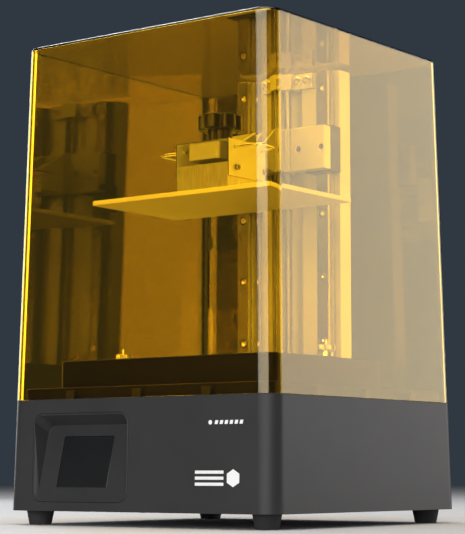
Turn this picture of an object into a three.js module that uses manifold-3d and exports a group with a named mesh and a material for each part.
// Desktop resin printer: a masked light source under a film-bottomed vat, a build plate on a
// screw-driven carriage, and a tinted lid that lifts off the base.
// Millimetres. X runs to the right, Y from front to back, Z up.
// The origin is on the table, under the centre of the base.
import * as THREE from 'three';
import { mergeVertices } from 'three/addons/utils/BufferGeometryUtils.js';
import Module from 'manifold-3d';

const wasm = await Module();
wasm.setup();

// ---------- driving dimensions: casing ----------
const HEIGHT = 440;
const BASE_WIDTH = 298.8; // across the base's bottom edge
const BASE_DEPTH = 298.8;
const FOOT_HEIGHT = 12.8;
const SEAM_HEIGHT = 111.7; // where the lid meets the base
const DRAFT = 0.01977; // how far an outer wall leans in for each millimetre of height
const CORNER_RADIUS = 16;
const SHELL_WALL = 3;
const LID_WALL = 2.8;
const CEILING = 2.5;
const GAP = 0.3; // between pieces that touch
const FIT = 0.4; // round a piece that turns or slides
const DECK_RISE = 10.8; // the deck's top above the seam
const DECK_MARGIN = 5.6; // from the lid's inner wall to the deck's edge
const DECK_THICKNESS = 3;
const TOP_EDGE_RADIUS = 3; // rounding of the lid's top edge
const TAB_WIDTH = 9;
const TAB_PITCH = 76.5;
const TAB_HEIGHT = 7.7;
const FOOT_INSET = 22.4;
const FOOT_TOP_RADIUS = 12.5;
const FOOT_SOLE_RADIUS = 10;
const BOTTOM_THICKNESS = 1.8;

// ---------- driving dimensions: touch panel ----------
const RECESS_LEFT = -116.4;
const RECESS_RIGHT = -7;
const RECESS_LOW = 22;
const RECESS_HIGH = 98.4;
const RECESS_RADIUS = 9;
const PANEL_TILT = THREE.MathUtils.degToRad(13.8);
const PANEL_INSET = 5; // the recess's side walls close in by this much
const PANEL_TOP_INSET = 9.4;
const BEZEL_RIM = 1.2;
const BEZEL_WALL = 2.5;
const PANEL_WALL = SHELL_WALL + GAP + 2; // behind the recess's tilted floor
const DISPLAY_WIDTH = 59;
const DISPLAY_HEIGHT = 46.6;
const DISPLAY_LEFT = -91.5;
const DISPLAY_LOW = 34;

// ---------- driving dimensions: light engine and vat ----------
const OPTIC_Y = -23.6; // the vat, LCD, plate and knob are centred on this line
const PLATE_WIDTH = 204.8;
const PLATE_DEPTH = 127.5;
const PLATE_THICKNESS = 4.1;
const PLATE_RISE = 172.4; // the plate's underside above the deck, at rest
const LCD_MARGIN = 6; // round the plate's outline
const LCD_THICKNESS = 3;
const VAT_CLEARANCE = 7; // round the plate's outline
const VAT_SIDE_WALL = 12.6;
const VAT_END_WALL = 17.2;
const VAT_HEIGHT = 25.7;
const VAT_RADIUS = 12;
const FILM_THICKNESS = 0.5;
const FILM_FRAME_HEIGHT = 3.4;
const FILM_FRAME_LAP = 4; // how far the frame reaches in past the vat's inner wall
const THUMB_INSET = 6; // from the vat's side to a thumb screw's axis
const THUMB_HEAD_RADIUS = 7.8;
const THUMB_SHANK_RADIUS = 2.5;
const LENS_DROP = 54; // from the deck's top to the lens sheet
const FAN_SIZE = 80;
const FAN_THICKNESS = 15;

// ---------- driving dimensions: lift ----------
const COLUMN_FRONT_Y = 87;
const COLUMN_EDGE = 6; // from a rail's outer side to the column's
const COLUMN_THICKNESS = 18;
const COLUMN_HEADROOM = 3.5; // under the lid's ceiling
const CHANNEL_WIDTH = 29;
const CHANNEL_DEPTH = 12;
const RAIL_SPACING = 92;
const RAIL_WIDTH = 13;
const RAIL_HEIGHT = 12;
const SCREW_STANDOFF = 2.5; // the screw's axis in front of the column's face
const SCREW_RADIUS = 4;
const SLIDER_WIDTH = 30;
const SLIDER_LENGTH = 44;
const SLIDER_PASS = 0.7; // between a slider and the top bearing block it can rise past
const BEARING_BLOCK_HEIGHT = 15;
const BEARING_RADIUS = 8;
const RAIL_END = 1; // from the column's top to the rails'
const HOLE_PITCH = 26.3; // between a slider's two bolt holes
const CARRIAGE_STANDOFF = 19; // the carriage plate's back in front of the column's face
const SLIDER_PROUD = 0.5; // how far a slider stands out past the carriage plate's end
const CARRIAGE_HEIGHT = 41.5;
const CARRIAGE_THICKNESS = 11;
const ARM_WIDTH = 35.6;
const ARM_THICKNESS = 15.6;
const ARM_RISE = 38.7; // the arm's underside above the plate's underside
const ARM_OVERHANG = 25.9; // the arm's nose in front of the optical line
const YOKE_WIDTH = 61.2;
const YOKE_DEPTH = 54.6;
const YOKE_SHEET = 1;
const YOKE_LEG = 34.4;
const BLOCK_HEIGHT = 29.5;
const GRIP_REACH = 27.5;
const GRIP_SPAN = 35;
const GRIP_RADIUS = 1.25;
const KNOB_RADIUS = 20.7;
const KNOB_LOBES = 6;
const KNOB_HUB_RADIUS = 12;
const KNOB_HUB_HEIGHT = 13;
const KNOB_GRIP_HEIGHT = 14;
const DISC_PHASE = THREE.MathUtils.degToRad(-24);
const HUB_PHASE = THREE.MathUtils.degToRad(-48);
const MOTOR_SIZE = 42.3;
const MOTOR_LENGTH = 40;
const COUPLING_LENGTH = 24;

// ---------- driving dimensions: rear panel ----------
const INLET = { x: 104, z: 42, width: 27.4, height: 20 };
const SWITCH = { x: 70, z: 42, width: 19, height: 13 };
const USB = { x: 30, z: 38, width: 14.4, height: 7.4 };
const REAR_FAN = { x: -78, z: 62, size: 60 };

// ---------- driving dimensions: electronics ----------
const BOARD_WIDTH = 90;
const BOARD_DEPTH = 65;
const BOARD_RISE = 8; // on its posts above the floor
const BOARD_FRONT_Y = 50;
const BOARD_INSET = 16; // from the casing's side
const SUPPLY = { width: 100, depth: 58, height: 30 };

// ---------- worked-out places ----------
const halfWidthAt = (z) => BASE_WIDTH / 2 - DRAFT * (z - FOOT_HEIGHT);
const halfDepthAt = (z) => BASE_DEPTH / 2 - DRAFT * (z - FOOT_HEIGHT);
const DECK_TOP = SEAM_HEIGHT + DECK_RISE;
const DECK_HALF_WIDTH = halfWidthAt(SEAM_HEIGHT) - LID_WALL - DECK_MARGIN;
const DECK_HALF_DEPTH = halfDepthAt(SEAM_HEIGHT) - LID_WALL - DECK_MARGIN;
const FLANGE_TOP = SEAM_HEIGHT;
const PLATE_Z = DECK_TOP + PLATE_RISE;
const PLATE_TOP = PLATE_Z + PLATE_THICKNESS;
const VAT_Z = DECK_TOP + GAP;
const VAT_INNER_X = PLATE_WIDTH / 2 + VAT_CLEARANCE;
const VAT_INNER_Y = PLATE_DEPTH / 2 + VAT_CLEARANCE;
const VAT_OUTER_X = VAT_INNER_X + VAT_SIDE_WALL;
const VAT_OUTER_Y = VAT_INNER_Y + VAT_END_WALL;
const THUMB_X = VAT_OUTER_X - THUMB_INSET;
const ARM_Z = PLATE_Z + ARM_RISE;
const ARM_TOP = ARM_Z + ARM_THICKNESS;
const ARM_NOSE_Y = OPTIC_Y - ARM_OVERHANG;
const YOKE_TOP = ARM_TOP + GAP + YOKE_SHEET;
const BLOCK_TOP = PLATE_TOP + GAP + BLOCK_HEIGHT;
const CARRIAGE_BACK_Y = COLUMN_FRONT_Y - CARRIAGE_STANDOFF;
const CARRIAGE_FRONT_Y = CARRIAGE_BACK_Y - CARRIAGE_THICKNESS;
const CARRIAGE_Z = ARM_Z + 0.4;
const CARRIAGE_MIDDLE = CARRIAGE_Z + CARRIAGE_HEIGHT / 2;
const SCREW_Y = COLUMN_FRONT_Y - SCREW_STANDOFF;
const COLUMN_WIDTH = RAIL_SPACING + RAIL_WIDTH + 2 * COLUMN_EDGE;
const CARRIAGE_WIDTH = RAIL_SPACING + SLIDER_WIDTH - 2 * SLIDER_PROUD;
const COLUMN_TOP = HEIGHT - CEILING - COLUMN_HEADROOM;
const BEARING_BLOCK_HALF_X = RAIL_SPACING / 2 - SLIDER_WIDTH / 2 - SLIDER_PASS;
const FLOOR_TOP = FOOT_HEIGHT + BOTTOM_THICKNESS;

// ---------- solids ----------
const ROUND_SEGMENTS = 28;
const CORNER_STEPS = 5;

/** A closed solid from a geometry, ready to be joined or cut. */
function solid(geometry) {
  const bare = geometry.clone();
  for (const name of Object.keys(bare.attributes)) {
    if (name !== 'position') bare.deleteAttribute(name);
  }
  const merged = mergeVertices(bare, 1e-4);
  const mesh = new wasm.Mesh({
    numProp: 3,
    vertProperties: new Float32Array(merged.attributes.position.array),
    triVerts: new Uint32Array(merged.index.array),
  });
  return new wasm.Manifold(mesh);
}

/** The geometry of a solid, with flat shading normals. */
function geometryOf(body) {
  const mesh = body.getMesh();
  const geometry = new THREE.BufferGeometry();
  geometry.setAttribute('position', new THREE.BufferAttribute(new Float32Array(mesh.vertProperties), 3));
  geometry.setIndex(new THREE.BufferAttribute(new Uint32Array(mesh.triVerts), 1));
  geometry.computeVertexNormals();
  return geometry;
}

const join = (first, ...others) => others.reduce((whole, piece) => whole.add(piece), first);
const cut = (first, ...others) => others.reduce((whole, piece) => whole.subtract(piece), first);

/** A box between two corners, moved by a matrix if one is given. */
function box([x0, x1], [y0, y1], [z0, z1], matrix = null) {
  const geometry = new THREE.BoxGeometry(x1 - x0, y1 - y0, z1 - z0);
  geometry.translate((x0 + x1) / 2, (y0 + y1) / 2, (z0 + z1) / 2);
  if (matrix) geometry.applyMatrix4(matrix);
  return solid(geometry);
}

/** A round bar, or a cone, along X, Y or Z; at gives the other two coordinates in X, Y, Z order. */
function rod(axis, radius, [start, end], at, { endRadius = radius, segments = ROUND_SEGMENTS } = {}) {
  const geometry = new THREE.CylinderGeometry(endRadius, radius, end - start, segments);
  geometry.translate(0, (start + end) / 2, 0);
  if (axis === 'X') geometry.rotateZ(-Math.PI / 2).translate(0, at[0], at[1]);
  if (axis === 'Y') geometry.translate(at[0], 0, at[1]);
  if (axis === 'Z') geometry.rotateX(Math.PI / 2).translate(at[0], at[1], 0);
  return solid(geometry);
}

/** The outline of a rounded rectangle, as points that place() puts in space. */
function roundedRing([x0, x1], [y0, y1], radius, place) {
  const corners = [
    [x1 - radius, y1 - radius, 0],
    [x0 + radius, y1 - radius, 1],
    [x0 + radius, y0 + radius, 2],
    [x1 - radius, y0 + radius, 3],
  ];
  const ring = [];
  for (const [x, y, quarter] of corners) {
    for (let step = 0; step <= CORNER_STEPS; step += 1) {
      const angle = (quarter + step / CORNER_STEPS) * (Math.PI / 2);
      ring.push(place(x + radius * Math.cos(angle), y + radius * Math.sin(angle)));
    }
  }
  return ring;
}

/** A closed solid through convex rings that have the same number of points. */
function loft(rings) {
  const count = rings[0].length;
  const positions = rings.flat().flatMap((point) => point.toArray());
  const faces = [];
  for (let level = 0; level + 1 < rings.length; level += 1) {
    for (let k = 0; k < count; k += 1) {
      const a = level * count + k;
      const b = level * count + ((k + 1) % count);
      faces.push([a, b, b + count], [a, b + count, a + count]);
    }
  }
  const last = (rings.length - 1) * count;
  for (let k = 1; k + 1 < count; k += 1) {
    faces.push([0, k + 1, k], [last, last + k, last + k + 1]);
  }
  const along = rings[rings.length - 1][0].clone().sub(rings[0][0]);
  const [p, q, r] = [0, Math.floor(count / 3), Math.floor((2 * count) / 3)].map((k) => rings[0][k]);
  const normal = q.clone().sub(p).cross(r.clone().sub(p));
  const outward = normal.dot(along) > 0;
  const geometry = new THREE.BufferGeometry();
  geometry.setAttribute('position', new THREE.Float32BufferAttribute(positions, 3));
  geometry.setIndex(faces.flatMap(([a, b, c]) => (outward ? [a, b, c] : [a, c, b])));
  return solid(geometry);
}

/** An upright block with rounded corners, centred on (0, y). */
function roundedBlock(halfX, halfY, radius, [z0, z1], y = 0) {
  const rings = [z0, z1].map((z) =>
    roundedRing([-halfX, halfX], [y - halfY, y + halfY], radius, (u, v) => new THREE.Vector3(u, v, z)));
  return loft(rings);
}

/** The casing's outline at a height, set in by inset. */
function casingRing(z, inset) {
  const halfX = halfWidthAt(z) - inset;
  const halfY = halfDepthAt(z) - inset;
  const place = (u, v) => new THREE.Vector3(u, v, z);
  return roundedRing([-halfX, halfX], [-halfY, halfY], CORNER_RADIUS - inset, place);
}

/** The casing's outer form between two heights, set in by inset. */
const draftedBlock = ([z0, z1], inset) => loft([casingRing(z0, inset), casingRing(z1, inset)]);

// ---------- materials ----------
const material = (color, roughness, metalness = 0, extra = {}) =>
  new THREE.MeshStandardMaterial({ color, roughness, metalness, ...extra });
const GREY_CASE = material(0x4c4c4d, 0.55);
const BLACK_METAL = material(0x1c1c1e, 0.5, 0.3);
const BLACK_PLASTIC = material(0x161617, 0.5);
const ALUMINIUM = material(0xc9c9c7, 0.35, 1);
const DARK_ALUMINIUM = material(0x5a5a5c, 0.4, 1);
const STEEL = material(0xb4b4b6, 0.25, 1);
const BRASS = material(0xc9a24a, 0.3, 1);
const GLASS_BLACK = material(0x101012, 0.1);
const BOARD_GREEN = material(0x1d5b34, 0.6);
const RUBBER = material(0x18181a, 0.85);
const TINTED = material(0xe09a1c, 0.05, 0, { transparent: true, opacity: 0.45 });
const CLEAR = material(0xdfe3e6, 0.08, 0, { transparent: true, opacity: 0.4 });

const printer = new THREE.Group();

/** Adds one named piece. */
function add(name, body, look) {
  const mesh = new THREE.Mesh(geometryOf(body), look);
  mesh.name = name;
  printer.add(mesh);
}

// ---------- touch panel ----------
/** A point on the casing's front, at a depth behind its leaning face. */
const frontPoint = (x, z, depth) => new THREE.Vector3(x, -halfDepthAt(z) + depth, z);

/** The recess's opening, grown by an offset, at a depth behind the face. */
function recessRing(offset, depth) {
  const across = [RECESS_LEFT - offset, RECESS_RIGHT + offset];
  const up = [RECESS_LOW - offset, RECESS_HIGH + offset];
  return roundedRing(across, up, RECESS_RADIUS + offset, (x, z) => frontPoint(x, z, depth));
}

const PANEL_FOOT = frontPoint(0, RECESS_LOW, 0.4);
const PANEL_LENGTH = (RECESS_HIGH - RECESS_LOW - PANEL_TOP_INSET) / Math.cos(PANEL_TILT);

/** From the panel's own frame (X across, Y into the casing, Z up the panel) to the part's. */
const PANEL_MATRIX = new THREE.Matrix4()
  .makeTranslation(0, PANEL_FOOT.y, PANEL_FOOT.z)
  .multiply(new THREE.Matrix4().makeRotationX(-PANEL_TILT));

/** The outline of the recess's tilted floor, grown by an offset, at a depth behind the panel. */
function panelRing(offset, depth) {
  const across = [RECESS_LEFT + PANEL_INSET - offset, RECESS_RIGHT - PANEL_INSET + offset];
  const up = [1.6 - offset, PANEL_LENGTH + offset];
  const place = (x, z) => new THREE.Vector3(x, depth, z).applyMatrix4(PANEL_MATRIX);
  return roundedRing(across, up, RECESS_RADIUS + offset - 1, place);
}

const DISPLAY_FOOT = (DISPLAY_LOW - RECESS_LOW) / Math.cos(PANEL_TILT);
const DISPLAY_ACROSS = [DISPLAY_LEFT, DISPLAY_LEFT + DISPLAY_WIDTH];
const DISPLAY_UP = [DISPLAY_FOOT, DISPLAY_FOOT + DISPLAY_HEIGHT];
const grown = ([low, high], by) => [low - by, high + by];

function touchPanel() {
  const cavity = loft([recessRing(0, -1), recessRing(0, 0.3), panelRing(0, 0)]);
  const funnel = loft([recessRing(BEZEL_RIM - GAP, 0), recessRing(BEZEL_RIM - GAP, SHELL_WALL + GAP + 1),
    panelRing(BEZEL_WALL, PANEL_WALL)]);
  const collarDepths = [SHELL_WALL + GAP, SHELL_WALL + GAP + 2];
  const collar = cut(loft(collarDepths.map((depth) => recessRing(5, depth))),
    loft(grown(collarDepths, 1).map((depth) => recessRing((BEZEL_RIM - GAP) / 2, depth))));
  const window = box(DISPLAY_ACROSS, [-10, 20], DISPLAY_UP, PANEL_MATRIX);
  add('screen_bezel', cut(join(funnel, collar), cavity, window), GREY_CASE);

  const backDepth = PANEL_WALL + GAP;
  const glassDepth = [0.5, backDepth + 1];
  const glass = box(grown(DISPLAY_ACROSS, -GAP), glassDepth, grown(DISPLAY_UP, -GAP), PANEL_MATRIX);
  const frameDepth = [backDepth, backDepth + 2.4];
  const back = box(grown(DISPLAY_ACROSS, 4), frameDepth, grown(DISPLAY_UP, 3), PANEL_MATRIX);
  add('touch_screen', join(glass, back), GLASS_BLACK);

  const boardDepth = backDepth + 2.4 + GAP;
  add('touch_board', box(grown(DISPLAY_ACROSS, 6), [boardDepth, boardDepth + 1.6], grown(DISPLAY_UP, 4),
    PANEL_MATRIX), BOARD_GREEN);
}

// ---------- base ----------
/** Boxes along each of the four sides, where the locating tabs stand. */
function locatingTabs() {
  const top = FLANGE_TOP + TAB_HEIGHT;
  const faceX = halfWidthAt(top) - LID_WALL - GAP;
  const faceY = halfDepthAt(top) - LID_WALL - GAP;
  const up = [FLANGE_TOP - 1, top];
  const tabs = [];
  for (const offset of [-TAB_PITCH, 0, TAB_PITCH]) {
    const along = [offset - TAB_WIDTH / 2, offset + TAB_WIDTH / 2];
    for (const side of [-1, 1]) {
      const outX = [side * faceX, side * (faceX - 3)].sort((a, b) => a - b);
      const outY = [side * faceY, side * (faceY - 3)].sort((a, b) => a - b);
      tabs.push(box(outX, along, up), box(along, outY, up));
    }
  }
  return tabs;
}

const THROUGH_REAR = [BASE_DEPTH / 2 - 12, BASE_DEPTH / 2 + 5]; // past both faces of the rear wall

/** Upright slots in a round patch of the rear wall, in front of the rear fan. */
function rearVents() {
  const slots = [];
  const reach = REAR_FAN.size / 2 - 4;
  for (let x = -reach + 2.6; x < reach; x += 7) {
    const tall = Math.sqrt(reach * reach - x * x);
    const across = grown([REAR_FAN.x + x, REAR_FAN.x + x], 1.8);
    slots.push(box(across, THROUGH_REAR, grown([REAR_FAN.z, REAR_FAN.z], tall)));
  }
  return slots;
}

/** The hole in the rear wall for a fitting. */
function rearHole({ x, z, width, height }) {
  const across = grown([x, x], width / 2 + GAP);
  return box(across, THROUGH_REAR, grown([z, z], height / 2 + GAP));
}

function baseShell() {
  const outer = draftedBlock([FOOT_HEIGHT, FLANGE_TOP], 0);
  const hollow = draftedBlock([FOOT_HEIGHT - 1, FLANGE_TOP - SHELL_WALL], SHELL_WALL);
  const mouth = roundedBlock(DECK_HALF_WIDTH - 4, DECK_HALF_DEPTH - 4, CORNER_RADIUS - 8,
    [FLANGE_TOP - 10, FLANGE_TOP + 10]);
  const recess = loft([recessRing(BEZEL_RIM, -3), recessRing(BEZEL_RIM, 8)]);
  const rearHoles = [INLET, SWITCH, USB].map(rearHole);
  const shell = cut(outer, hollow, mouth, recess, ...rearVents(), ...rearHoles);
  add('base_shell', join(shell, ...locatingTabs()), GREY_CASE);
}

/** The main board's edges, and the places of its four posts. */
const boardEdges = () => {
  const left = -BASE_WIDTH / 2 + BOARD_INSET;
  return { across: [left, left + BOARD_WIDTH], along: [BOARD_FRONT_Y, BOARD_FRONT_Y + BOARD_DEPTH] };
};
const boardCorners = () => {
  const { across, along } = boardEdges();
  return grown(across, -5).flatMap((x) => grown(along, -5).map((y) => [x, y]));
};

function bottomPlate() {
  const inset = SHELL_WALL + GAP;
  const plate = draftedBlock([FOOT_HEIGHT, FLOOR_TOP], inset);
  const slots = [];
  const pitch = 8;
  const reach = FAN_SIZE / 2 - 6;
  for (let x = -4 * pitch; x <= 4 * pitch; x += pitch) {
    slots.push(box([x - 2, x + 2], [OPTIC_Y - reach, OPTIC_Y + reach], [FOOT_HEIGHT - 1, FLOOR_TOP + 1]));
  }
  const posts = boardCorners().map((at) =>
    rod('Z', 3, [FLOOR_TOP - 1, FLOOR_TOP + BOARD_RISE - GAP], at, { segments: 14 }));
  add('bottom_plate', join(cut(plate, ...slots), ...posts), BLACK_METAL);
}

function feet() {
  const x = BASE_WIDTH / 2 - FOOT_INSET;
  const y = BASE_DEPTH / 2 - FOOT_INSET;
  const places = { front_left: [-x, -y], front_right: [x, -y], back_left: [-x, y], back_right: [x, y] };
  for (const [name, at] of Object.entries(places)) {
    const foot = rod('Z', FOOT_SOLE_RADIUS, [0, FOOT_HEIGHT - GAP], at, { endRadius: FOOT_TOP_RADIUS });
    const screwHole = rod('Z', 3.5, [-1, 6], at, { segments: 16 });
    add(`foot_${name}`, cut(foot, screwHole), RUBBER);
  }
}

const LCD_HALF_X = PLATE_WIDTH / 2 + LCD_MARGIN;
const LCD_HALF_Y = PLATE_DEPTH / 2 + LCD_MARGIN;

function deck() {
  const radius = CORNER_RADIUS - 6;
  const outer = roundedBlock(DECK_HALF_WIDTH, DECK_HALF_DEPTH, radius, [FLANGE_TOP + GAP, DECK_TOP]);
  const hollow = roundedBlock(DECK_HALF_WIDTH - DECK_THICKNESS, DECK_HALF_DEPTH - DECK_THICKNESS,
    radius - DECK_THICKNESS, [FLANGE_TOP - 1, DECK_TOP - DECK_THICKNESS]);
  const through = [DECK_TOP - 10, DECK_TOP + 1];
  const window = roundedBlock(LCD_HALF_X + GAP, LCD_HALF_Y + GAP, 3, through, OPTIC_Y);
  const screwHole = rod('Z', SCREW_RADIUS + 7, through, [0, SCREW_Y]);
  const thumbHoles = [-1, 1].map((side) =>
    rod('Z', THUMB_SHANK_RADIUS + FIT, through, [side * THUMB_X, OPTIC_Y], { segments: 20 }));
  add('top_deck', cut(outer, hollow, window, screwHole, ...thumbHoles), BLACK_METAL);
}

// ---------- light engine ----------
function lightEngine() {
  const low = DECK_TOP - LCD_THICKNESS;
  add('lcd_panel', roundedBlock(LCD_HALF_X, LCD_HALF_Y, 3, [low, DECK_TOP - 0.1], OPTIC_Y), GLASS_BLACK);

  const hoodTop = low - GAP;
  const lensZ = DECK_TOP - LENS_DROP;
  const hood = roundedBlock(LCD_HALF_X, LCD_HALF_Y, 4, [lensZ, hoodTop], OPTIC_Y);
  const lightPath = roundedBlock(LCD_HALF_X - 2, LCD_HALF_Y - 2, 2, [lensZ - 1, hoodTop + 1], OPTIC_Y);
  add('light_hood', cut(hood, lightPath), BLACK_PLASTIC);

  const across = [-PLATE_WIDTH / 2 + 2, PLATE_WIDTH / 2 - 2];
  const along = [OPTIC_Y - PLATE_DEPTH / 2 + 2, OPTIC_Y + PLATE_DEPTH / 2 - 2];
  const lensTop = lensZ - GAP;
  add('lens_array', box(across, along, [lensTop - 3, lensTop]), CLEAR);
  const boardTop = lensTop - 3 - GAP;
  add('led_board', box(across, along, [boardTop - 2, boardTop]), BOARD_GREEN);

  const sinkTop = boardTop - 2 - GAP;
  const sinkHalf = PLATE_WIDTH / 2 - 16;
  const sinkAlong = grown(along, -8);
  const fins = [];
  for (let x = -sinkHalf; x <= sinkHalf - 2; x += (2 * sinkHalf - 2) / 14) {
    fins.push(box([x, x + 2], sinkAlong, [sinkTop - 20, sinkTop - 3]));
  }
  add('heat_sink', join(box([-sinkHalf, sinkHalf], sinkAlong, [sinkTop - 5, sinkTop]), ...fins), ALUMINIUM);
  addFan('light_fan', FAN_SIZE, (x, y, z) => new THREE.Vector3(x, OPTIC_Y + y, sinkTop - 22 - z));
}

/** A fan's frame and rotor. place() maps the fan's own frame, with Z along its axle, to the part's. */
function addFan(name, size, place) {
  const origin = place(0, 0, 0);
  const basis = new THREE.Matrix4().makeBasis(
    place(1, 0, 0).sub(origin), place(0, 1, 0).sub(origin), place(0, 0, 1).sub(origin)).setPosition(origin);
  const mirrored = basis.determinant() < 0;
  const turn = mirrored ? basis.multiply(new THREE.Matrix4().makeScale(-1, 1, 1)) : basis;
  const place3d = (geometry) => solid(geometry.applyMatrix4(turn));
  const tube = (radius, from, to, segments = ROUND_SEGMENTS) => place3d(
    new THREE.CylinderGeometry(radius, radius, to - from, segments).rotateX(Math.PI / 2)
      .translate(0, 0, (from + to) / 2));
  const slab = (w, d, h, angle, radius, z) => place3d(
    new THREE.BoxGeometry(w, d, h).translate(radius, 0, z).rotateZ(angle));
  const bore = size / 2 - 2.5;
  const hub = size * 0.19;
  const struts = [0, 1, 2].map((k) =>
    slab(bore - hub + 4, 3, 2, (k * 2 * Math.PI) / 3 + 0.4, (bore + hub) / 2, FAN_THICKNESS - 1));
  const holes = [[-1, -1], [-1, 1], [1, -1], [1, 1]].map(([a, b]) => place3d(
    new THREE.CylinderGeometry(2.1, 2.1, FAN_THICKNESS * 3, 12).rotateX(Math.PI / 2)
      .translate(a * (size / 2 - 4), b * (size / 2 - 4), 0)));
  const square = slab(size, size, FAN_THICKNESS, 0, 0, FAN_THICKNESS / 2);
  const frame = cut(square, tube(bore, -1, FAN_THICKNESS + 1));
  const stator = tube(hub, FAN_THICKNESS - 2, FAN_THICKNESS);
  add(`${name}_frame`, cut(join(frame, ...struts, stator), ...holes), BLACK_PLASTIC);

  const bladeLength = bore - hub - 1;
  const blades = [];
  for (let k = 0; k < 7; k += 1) {
    const blade = new THREE.BoxGeometry(bladeLength + 3, 1.4, 12).rotateX(0.75)
      .translate(hub + bladeLength / 2 - 1.5, 0, (FAN_THICKNESS - 2) / 2)
      .rotateZ((k * 2 * Math.PI) / 7);
    blades.push(place3d(blade));
  }
  add(`${name}_rotor`, join(tube(hub, 0.6, FAN_THICKNESS - 2 - FIT), ...blades), BLACK_PLASTIC);
}

// ---------- electronics and rear panel ----------
function electronics() {
  const { across, along } = boardEdges();
  add('main_board', box(across, along, [FLOOR_TOP + BOARD_RISE, FLOOR_TOP + BOARD_RISE + 1.6]), BOARD_GREEN);
  const right = BASE_WIDTH / 2 - BOARD_INSET;
  add('power_supply', box([right - SUPPLY.width, right], [BOARD_FRONT_Y, BOARD_FRONT_Y + SUPPLY.depth],
    [FLOOR_TOP + GAP, FLOOR_TOP + SUPPLY.height]), DARK_ALUMINIUM);
}

const wallInsideAt = (z) => halfDepthAt(z) - SHELL_WALL - GAP;
const REAR_FLANGE = 3;

/** Where a rear fitting stands: its span across and up, its outer face, and its flange behind the wall. */
function rearPlace({ x, z, width, height }, lipX, lipZ) {
  const across = [x - width / 2, x + width / 2];
  const up = [z - height / 2, z + height / 2];
  const face = halfDepthAt(z + 12) - 0.2;
  const wall = wallInsideAt(z + height / 2 + 4);
  const flange = box(grown(across, lipX), [wall - REAR_FLANGE, wall], grown(up, lipZ));
  return { across, up, face, flange };
}

function powerInlet() {
  const { across, up, face, flange } = rearPlace(INLET, 5, 4);
  const body = box(across, [face - 22, face], up);
  const socket = box(grown(across, -2.2), [face - 16, face + 1], grown(up, -2.6));
  const pins = [[-7, 1.5], [0, -2], [7, 1.5]].map(([dx, dz]) => {
    const [x, z] = [INLET.x + dx, INLET.z + dz];
    return box([x - 1, x + 1], [face - 17, face - 8], [z - 2, z + 2]);
  });
  add('power_inlet', join(cut(join(body, flange), socket), ...pins), BLACK_PLASTIC);
}

function powerSwitch() {
  const { across, up, face, flange } = rearPlace(SWITCH, 4, 3);
  const body = box(across, [face - 18, face], up);
  const well = box(grown(across, -2), [face - 10, face + 1], grown(up, -1.6));
  add('switch_housing', cut(join(body, flange), well), BLACK_PLASTIC);
  add('switch_rocker', rocker(SWITCH.x, face, SWITCH.z, SWITCH.width - 5, SWITCH.height - 4), BLACK_PLASTIC);
}

function usbPort() {
  const { across, up, face } = rearPlace(USB, 0, 0);
  const sheet = 0.8;
  const shell = box(across, [face - 16, face], up);
  const slot = box(grown(across, -sheet), [face - 12.5, face + 1], grown(up, -sheet));
  add('usb_port', cut(shell, slot), STEEL);
}

function rearFan() {
  const front = wallInsideAt(REAR_FAN.z + REAR_FAN.size / 2) - FAN_THICKNESS;
  const place = (x, y, z) => new THREE.Vector3(REAR_FAN.x + x, front + z, REAR_FAN.z + y);
  addFan('rear_fan', REAR_FAN.size, place);
}

const ROCKER_TILT = THREE.MathUtils.degToRad(9);

/** A V-faced rocker that leans to one side, about an axle along Z. */
function rocker(x, face, z, width, height) {
  const outline = new THREE.Shape();
  outline.moveTo(-width / 2, -1.2);
  outline.lineTo(-width / 2 + 1.5, -5.5);
  outline.lineTo(width / 2 - 1.5, -5.5);
  outline.lineTo(width / 2, -1.2);
  outline.lineTo(0, -2.6);
  const geometry = new THREE.ExtrudeGeometry(outline, { depth: height, bevelEnabled: false });
  geometry.translate(0, 3, -height / 2).rotateZ(ROCKER_TILT).translate(x, face - 3.2, z);
  return solid(geometry);
}

// ---------- lift ----------
function driveTrain() {
  const shaftTop = DECK_TOP - COUPLING_LENGTH / 2 - 4;
  const motorTop = DECK_TOP - COUPLING_LENGTH - 11;
  const at = [0, SCREW_Y];
  const half = MOTOR_SIZE / 2;
  const block = roundedBlock(half, half, 4, [motorTop - MOTOR_LENGTH, motorTop], SCREW_Y);
  const pilot = rod('Z', 11, [motorTop - 1, motorTop + 1.8], at);
  const shaftHole = rod('Z', 2.5 + FIT, [motorTop - 20, motorTop + 5], at);
  add('stepper_motor', cut(join(block, pilot), shaftHole), BLACK_METAL);

  const mountZ = motorTop + GAP;
  const legs = [-1, 1].map((side) => {
    const out = [side * (half + 9), side * (half + 6)].sort((a, b) => a - b);
    return box(out, [SCREW_Y - half, SCREW_Y + half], [mountZ, DECK_TOP - DECK_THICKNESS - GAP]);
  });
  const floor = box([-half - 9, half + 9], [SCREW_Y - half, SCREW_Y + half], [mountZ, mountZ + 3]);
  add('motor_mount', cut(join(floor, ...legs), rod('Z', 12, [mountZ - 1, mountZ + 4], at)), DARK_ALUMINIUM);

  add('motor_shaft', rod('Z', 2.5, [motorTop - 19, shaftTop - 1], at), STEEL);
  const couplingLow = shaftTop - COUPLING_LENGTH / 2;
  const coupling = rod('Z', 9.5, [couplingLow, couplingLow + COUPLING_LENGTH], at);
  const lowBore = rod('Z', 2.5 + GAP, [couplingLow - 1, shaftTop - 0.5], at);
  const highBore = rod('Z', SCREW_RADIUS + GAP, [shaftTop + 0.5, couplingLow + COUPLING_LENGTH + 1], at);
  add('shaft_coupling', cut(coupling, lowBore, highBore), ALUMINIUM);
  add('lead_screw', rod('Z', SCREW_RADIUS, [shaftTop + 1, COLUMN_TOP + 1], at), STEEL);
}

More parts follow.
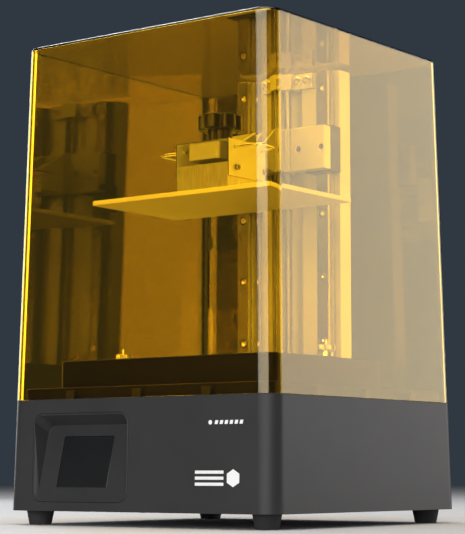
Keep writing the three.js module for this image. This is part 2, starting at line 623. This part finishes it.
function columnAndRails() {
  const half = COLUMN_WIDTH / 2;
  const up = [DECK_TOP + GAP, COLUMN_TOP];
  const back = COLUMN_FRONT_Y + COLUMN_THICKNESS;
  const post = box([-half, half], [COLUMN_FRONT_Y, back], up);
  const channelAlong = [COLUMN_FRONT_Y - 1, COLUMN_FRONT_Y + CHANNEL_DEPTH];
  const channel = box([-CHANNEL_WIDTH / 2, CHANNEL_WIDTH / 2], channelAlong, grown(up, 1));
  add('column', cut(post, channel), ALUMINIUM);

  for (const [name, side] of [['rail_left', -1], ['rail_right', 1]]) {
    const x = (side * RAIL_SPACING) / 2;
    const front = COLUMN_FRONT_Y - GAP - RAIL_HEIGHT;
    const bar = box([x - RAIL_WIDTH / 2, x + RAIL_WIDTH / 2], [front, COLUMN_FRONT_Y - GAP],
      [DECK_TOP + 2 * GAP, COLUMN_TOP - RAIL_END]);
    const waists = [-1, 1].map((edge) => {
      const across = [RAIL_WIDTH / 2 - 1.4, RAIL_WIDTH / 2 + 1].map((reach) => x + edge * reach);
      return box(across.sort((a, b) => a - b), [front + 3.2, front + 6.4], grown([DECK_TOP, COLUMN_TOP], 2));
    });
    add(name, cut(bar, ...waists), STEEL);
  }
}

function topBearing() {
  const at = [0, SCREW_Y];
  const up = [COLUMN_TOP - BEARING_BLOCK_HEIGHT, COLUMN_TOP];
  const footAlong = [COLUMN_FRONT_Y - 6, COLUMN_FRONT_Y - GAP];
  const foot = box([-BEARING_BLOCK_HALF_X, BEARING_BLOCK_HALF_X], footAlong, up);
  const bossHalf = BEARING_RADIUS + 2;
  const boss = box([-bossHalf, bossHalf], [SCREW_Y - bossHalf, SCREW_Y + bossHalf], up);
  const seat = rod('Z', BEARING_RADIUS + GAP, [up[0] + 3, up[1] + 1], at);
  const passage = rod('Z', SCREW_RADIUS + 1.5, grown(up, 1), at);
  const boltPlaces = [bossHalf + 5, BEARING_BLOCK_HALF_X - 4.5];
  const boltHoles = boltPlaces.flatMap((x) => [-x, x]).map((x) =>
    rod('Y', 1.7, [COLUMN_FRONT_Y - 8, COLUMN_FRONT_Y], [x, (up[0] + up[1]) / 2], { segments: 16 }));
  add('top_bearing_block', cut(join(foot, boss), seat, passage, ...boltHoles), ALUMINIUM);
  const ring = rod('Z', BEARING_RADIUS, [up[0] + 3.3, up[0] + 8.3], at);
  add('screw_bearing', cut(ring, rod('Z', SCREW_RADIUS + FIT, grown(up, 2), at)), STEEL);
}

// ---------- carriage ----------
const SENSOR_X = -(CARRIAGE_WIDTH / 2 + 4.8);
const SENSOR_Y = CARRIAGE_BACK_Y + 10;
const FLAG_LENGTH = 20;

function carriage() {
  const half = CARRIAGE_WIDTH / 2;
  const up = [CARRIAGE_Z, CARRIAGE_Z + CARRIAGE_HEIGHT];
  const slab = box([-half, half], [CARRIAGE_FRONT_Y, CARRIAGE_BACK_Y], up);
  const holeMiddle = RAIL_SPACING / 2 - 2.4;
  const holeSpan = [CARRIAGE_FRONT_Y - 1, CARRIAGE_FRONT_Y + 6];
  const holes = [-1, 1].flatMap((side) => grown([holeMiddle, holeMiddle], HOLE_PITCH / 2).map((x) =>
    rod('Y', 2.7, holeSpan, [side * x, CARRIAGE_MIDDLE], { segments: 18 })));
  add('carriage_plate', cut(slab, ...holes), ALUMINIUM);

  for (const [name, side] of [['slider_left', -1], ['slider_right', 1]]) {
    const x = (side * RAIL_SPACING) / 2;
    const low = CARRIAGE_MIDDLE - SLIDER_LENGTH / 2;
    const long = [low, low + SLIDER_LENGTH];
    const body = box(grown([x, x], SLIDER_WIDTH / 2), [CARRIAGE_BACK_Y + GAP, COLUMN_FRONT_Y - 2.5], long);
    const tunnelAlong = [COLUMN_FRONT_Y - GAP - RAIL_HEIGHT - FIT, COLUMN_FRONT_Y];
    const tunnel = box(grown([x, x], RAIL_WIDTH / 2 + FIT), tunnelAlong, grown(long, 1));
    add(name, cut(body, tunnel), DARK_ALUMINIUM);
  }

  const nutHalf = CHANNEL_WIDTH / 2 - 2;
  const nutUp = [CARRIAGE_MIDDLE - 13, CARRIAGE_MIDDLE + 13];
  const at = [0, SCREW_Y];
  const block = box([-nutHalf, nutHalf], [CARRIAGE_BACK_Y + GAP, COLUMN_FRONT_Y + CHANNEL_DEPTH - 2], nutUp);
  add('nut_block', cut(block, rod('Z', 8 + GAP, grown(nutUp, 1), at)), ALUMINIUM);
  const barrel = rod('Z', 8, [nutUp[0] - 2, nutUp[1]], at);
  const collar = rod('Z', 11, [nutUp[0] - 4, nutUp[0] - GAP], at);
  add('screw_nut', cut(join(barrel, collar), rod('Z', SCREW_RADIUS + FIT, grown(nutUp, 8), at)), BRASS);

  const foot = box([SENSOR_X - 0.8, -half - GAP], [CARRIAGE_FRONT_Y + 3, CARRIAGE_FRONT_Y + 9],
    [CARRIAGE_Z + 2, CARRIAGE_Z + 8]);
  const across = [SENSOR_X - 0.8, SENSOR_X + 0.8];
  const rib = box(across, [CARRIAGE_FRONT_Y + 3, SENSOR_Y + 4], [CARRIAGE_Z + 2, CARRIAGE_Z + 8]);
  const blade = box(across, [SENSOR_Y - 4, SENSOR_Y + 4], [CARRIAGE_Z - FLAG_LENGTH, CARRIAGE_Z + 8]);
  add('sensor_flag', join(foot, rib, blade), BLACK_METAL);
}

function limitSensor() {
  const y = grown([SENSOR_Y, SENSOR_Y], 6);
  const height = 22;
  const body = box([SENSOR_X - 6, SENSOR_X + 6], y, [DECK_TOP + GAP, DECK_TOP + height]);
  const slot = box([SENSOR_X - 2, SENSOR_X + 2], grown(y, 1), [DECK_TOP + 9, DECK_TOP + height + 1]);
  add('limit_sensor', cut(body, slot), BLACK_PLASTIC);
}

function arm() {
  const half = ARM_WIDTH / 2;
  const back = CARRIAGE_FRONT_Y - GAP;
  const chamfer = 2;
  const outline = new THREE.Shape();
  outline.moveTo(-half, back);
  outline.lineTo(-half, ARM_NOSE_Y + chamfer);
  outline.lineTo(-half + chamfer, ARM_NOSE_Y);
  outline.lineTo(half - chamfer, ARM_NOSE_Y);
  outline.lineTo(half, ARM_NOSE_Y + chamfer);
  outline.lineTo(half, back);
  const beam = solid(new THREE.ExtrudeGeometry(outline, { depth: ARM_THICKNESS, bevelEnabled: false })
    .translate(0, 0, ARM_Z));
  const gusset = new THREE.Shape();
  const gussetTop = CARRIAGE_Z + CARRIAGE_HEIGHT;
  const gussetFront = OPTIC_Y + YOKE_DEPTH / 2 + 2;
  gusset.moveTo(gussetFront, ARM_TOP - 1);
  gusset.lineTo(back, ARM_TOP - 1);
  gusset.lineTo(back, gussetTop);
  gusset.lineTo(back - 3, gussetTop);
  gusset.lineTo(gussetFront, ARM_TOP + 1);
  const webs = [-half, half - 5].map((x) =>
    solid(new THREE.ExtrudeGeometry(gusset, { depth: 5, bevelEnabled: false })
      .applyMatrix4(new THREE.Matrix4().makeBasis(
        new THREE.Vector3(0, 1, 0), new THREE.Vector3(0, 0, 1), new THREE.Vector3(1, 0, 0)))
      .translate(x, 0, 0)));
  const flange = box([-half - 4, half + 4], [back - 3, back], [ARM_Z, gussetTop]);
  add('arm', join(beam, ...webs, flange), ALUMINIUM);
}

// ---------- build plate unit ----------
const YOKE_FRONT = OPTIC_Y - YOKE_DEPTH / 2;
const YOKE_BACK = OPTIC_Y + YOKE_DEPTH / 2;
const LEVEL_SCREWS = { front: YOKE_FRONT + 12, back: YOKE_BACK - 5 };
const LEVEL_Z = YOKE_TOP - YOKE_LEG + 8.6;
const GRIP_Z = YOKE_TOP - 7;

function plateUnit() {
  const plate = roundedBlock(PLATE_WIDTH / 2, PLATE_DEPTH / 2, 3, [PLATE_Z, PLATE_TOP], OPTIC_Y);
  add('build_plate', plate, ALUMINIUM);

  const half = YOKE_WIDTH / 2;
  const along = [YOKE_FRONT, YOKE_BACK];
  const inner = half - YOKE_SHEET - GAP;
  const block = box([-inner, inner], along, [PLATE_TOP + GAP, BLOCK_TOP]);
  const threads = [];
  for (const y of Object.values(LEVEL_SCREWS)) {
    for (const side of [-1, 1]) {
      const span = [side * (inner - 8), side * (half + 1)].sort((a, b) => a - b);
      threads.push(rod('X', 1.5 + GAP, span, [y, LEVEL_Z], { segments: 14 }));
    }
  }
  add('joint_block', cut(block, ...threads), ALUMINIUM);

  const eyes = [];
  for (const y of [OPTIC_Y - GRIP_SPAN / 2, OPTIC_Y + GRIP_SPAN / 2]) {
    eyes.push(rod('X', GRIP_RADIUS + FIT, [-half - 1, half + 1], [y, GRIP_Z], { segments: 14 }));
  }
  const slots = Object.values(LEVEL_SCREWS).map((y) =>
    rod('X', 1.5 + GAP, [-half - 1, half + 1], [y, LEVEL_Z], { segments: 14 }));
  const sheet = box([-half, half], along, [YOKE_TOP - YOKE_LEG, YOKE_TOP]);
  const inside = box([-half + YOKE_SHEET, half - YOKE_SHEET], grown(along, 1),
    [YOKE_TOP - YOKE_LEG - 1, YOKE_TOP - YOKE_SHEET]);
  const knobHole = rod('Z', 3 + FIT, [YOKE_TOP - 5, YOKE_TOP + 1], [0, OPTIC_Y]);
  add('yoke', cut(sheet, inside, knobHole, ...eyes, ...slots), ALUMINIUM);

  for (const [where, y] of Object.entries(LEVEL_SCREWS)) {
    for (const [hand, side] of [['left', -1], ['right', 1]]) {
      const head = [side * (half + GAP), side * (half + 2.8)].sort((a, b) => a - b);
      const shank = [side * (inner - 7), side * (half + 1)].sort((a, b) => a - b);
      const socket = [side * (half + 1.2), side * (half + 4)].sort((a, b) => a - b);
      const at = [y, LEVEL_Z];
      const screw = join(rod('X', 3, head, at, { segments: 18 }), rod('X', 1.5, shank, at, { segments: 14 }));
      add(`level_screw_${where}_${hand}`, cut(screw, rod('X', 1.4, socket, at, { segments: 6 })), STEEL);
    }
  }
}

/** A round path with quarter bends between straight runs. */
class WirePath extends THREE.CurvePath {
  constructor(points, bend) {
    super();
    let from = points[0];
    for (let k = 1; k + 1 < points.length; k += 1) {
      const corner = points[k];
      const before = corner.clone().add(points[k - 1].clone().sub(corner).setLength(bend));
      const after = corner.clone().add(points[k + 1].clone().sub(corner).setLength(bend));
      this.add(new THREE.LineCurve3(from, before));
      this.add(new THREE.QuadraticBezierCurve3(before, corner, after));
      from = after;
    }
    this.add(new THREE.LineCurve3(from, points[points.length - 1]));
  }
}

/** A U of wire whose ends pass through the yoke's side and turn down behind it. */
function wireGrips() {
  const half = YOKE_WIDTH / 2;
  const front = OPTIC_Y - GRIP_SPAN / 2;
  const back = OPTIC_Y + GRIP_SPAN / 2;
  const section = new THREE.Shape();
  for (let k = 0; k < 8; k += 1) {
    const angle = (k * Math.PI) / 4;
    const at = [GRIP_RADIUS * Math.cos(angle), GRIP_RADIUS * Math.sin(angle)];
    if (k === 0) section.moveTo(...at);
    else section.lineTo(...at);
  }
  for (const [name, side] of [['wire_grip_left', -1], ['wire_grip_right', 1]]) {
    const inner = side * (half - YOKE_SHEET - 3.5);
    const outer = side * (half + GRIP_REACH);
    const points = [[inner, front], [outer, front], [outer, back], [inner, back]].map(
      ([x, y]) => new THREE.Vector3(x, y, GRIP_Z));
    const path = new WirePath(points, 7);
    const sweep = { steps: 60, bevelEnabled: false, extrudePath: path };
    add(name, solid(new THREE.ExtrudeGeometry(section, sweep)), STEEL);
  }
}

/** An upright bar whose outline bulges between evenly spaced grooves; phase is a lobe's plan angle. */
function lobedBar(radius, groove, [z0, z1], phase) {
  const outline = new THREE.Shape();
  const steps = KNOB_LOBES * 12;
  for (let k = 0; k < steps; k += 1) {
    const turn = (k / steps) * 2 * Math.PI;
    const sink = ((1 - Math.cos(KNOB_LOBES * turn)) / 2) ** 4;
    const reach = radius - groove * sink;
    const point = [reach * Math.cos(turn + phase), OPTIC_Y + reach * Math.sin(turn + phase)];
    if (k === 0) outline.moveTo(...point);
    else outline.lineTo(...point);
  }
  const geometry = new THREE.ExtrudeGeometry(outline, { depth: z1 - z0, bevelEnabled: false });
  return solid(geometry.translate(0, 0, z0));
}

function clampKnob() {
  const hubLow = YOKE_TOP + GAP;
  const discLow = hubLow + KNOB_HUB_HEIGHT;
  const disc = lobedBar(KNOB_RADIUS, 4.4, [discLow, discLow + KNOB_GRIP_HEIGHT], DISC_PHASE);
  const hub = lobedBar(KNOB_HUB_RADIUS, 2, [hubLow, discLow + 1], HUB_PHASE);
  const screw = rod('Z', 3, [ARM_TOP + GAP, hubLow + 1], [0, OPTIC_Y], { segments: 18 });
  add('clamp_knob', join(disc, hub, screw), BLACK_PLASTIC);
}

// ---------- vat ----------
function vat() {
  const rim = VAT_Z + VAT_HEIGHT;
  const outer = roundedBlock(VAT_OUTER_X, VAT_OUTER_Y, VAT_RADIUS, [VAT_Z, rim], OPTIC_Y);
  const basin = roundedBlock(VAT_INNER_X, VAT_INNER_Y, 6, [VAT_Z - 1, rim + 1], OPTIC_Y);
  const filmX = VAT_INNER_X + 3.6;
  const filmY = VAT_INNER_Y + 4.6;
  const frameTop = VAT_Z + 2 * GAP + FILM_THICKNESS + FILM_FRAME_HEIGHT;
  const rebate = roundedBlock(filmX + FIT, filmY + FIT, 6, [VAT_Z - 1, frameTop + GAP], OPTIC_Y);
  const bores = [-1, 1].map((side) =>
    rod('Z', THUMB_SHANK_RADIUS + FIT, [VAT_Z - 1, rim + 1], [side * THUMB_X, OPTIC_Y], { segments: 20 }));
  add('vat_body', cut(outer, basin, rebate, ...bores), BLACK_METAL);

  const filmTop = VAT_Z + GAP + FILM_THICKNESS;
  add('vat_film', roundedBlock(filmX, filmY, 5, [VAT_Z + GAP, filmTop], OPTIC_Y), CLEAR);
  const frame = roundedBlock(filmX, filmY, 5, [filmTop + GAP, frameTop], OPTIC_Y);
  const opening = roundedBlock(VAT_INNER_X - FILM_FRAME_LAP, VAT_INNER_Y - FILM_FRAME_LAP, 4,
    [VAT_Z, frameTop + 1], OPTIC_Y);
  add('film_frame', cut(frame, opening), STEEL);

  for (const [name, side] of [['thumb_screw_left', -1], ['thumb_screw_right', 1]]) {
    const at = [side * THUMB_X, OPTIC_Y];
    const collar = rod('Z', THUMB_HEAD_RADIUS - 1.6, [rim + GAP, rim + 4.5], at);
    const disc = rod('Z', THUMB_HEAD_RADIUS, [rim + 5.2, rim + 10.8], at);
    const neck = rod('Z', 4.5, [rim + 4, rim + 6], at, { segments: 20 });
    const pin = rod('Z', 1.6, [rim + 10, rim + 15.6], at, { segments: 14 });
    const shank = rod('Z', THUMB_SHANK_RADIUS, [DECK_TOP - 2.5, rim + 1], at, { segments: 20 });
    add(name, join(collar, neck, disc, pin, shank), STEEL);
  }
}

// ---------- lid ----------
function lid() {
  const low = SEAM_HEIGHT + GAP;
  const rings = [casingRing(low, 0)];
  for (let step = 0; step <= CORNER_STEPS; step += 1) {
    const angle = (step / CORNER_STEPS) * (Math.PI / 2);
    const z = HEIGHT - TOP_EDGE_RADIUS * (1 - Math.sin(angle));
    rings.push(casingRing(z, TOP_EDGE_RADIUS * (1 - Math.cos(angle))));
  }
  const inner = draftedBlock([low - 1, HEIGHT - CEILING], LID_WALL);
  add('lid', cut(loft(rings), inner), TINTED);
}

baseShell();
bottomPlate();
feet();
touchPanel();
deck();
lightEngine();
electronics();
powerInlet();
powerSwitch();
usbPort();
rearFan();
driveTrain();
columnAndRails();
topBearing();
limitSensor();
carriage();
arm();
plateUnit();
wireGrips();
clampKnob();
vat();
lid();

export default printer;
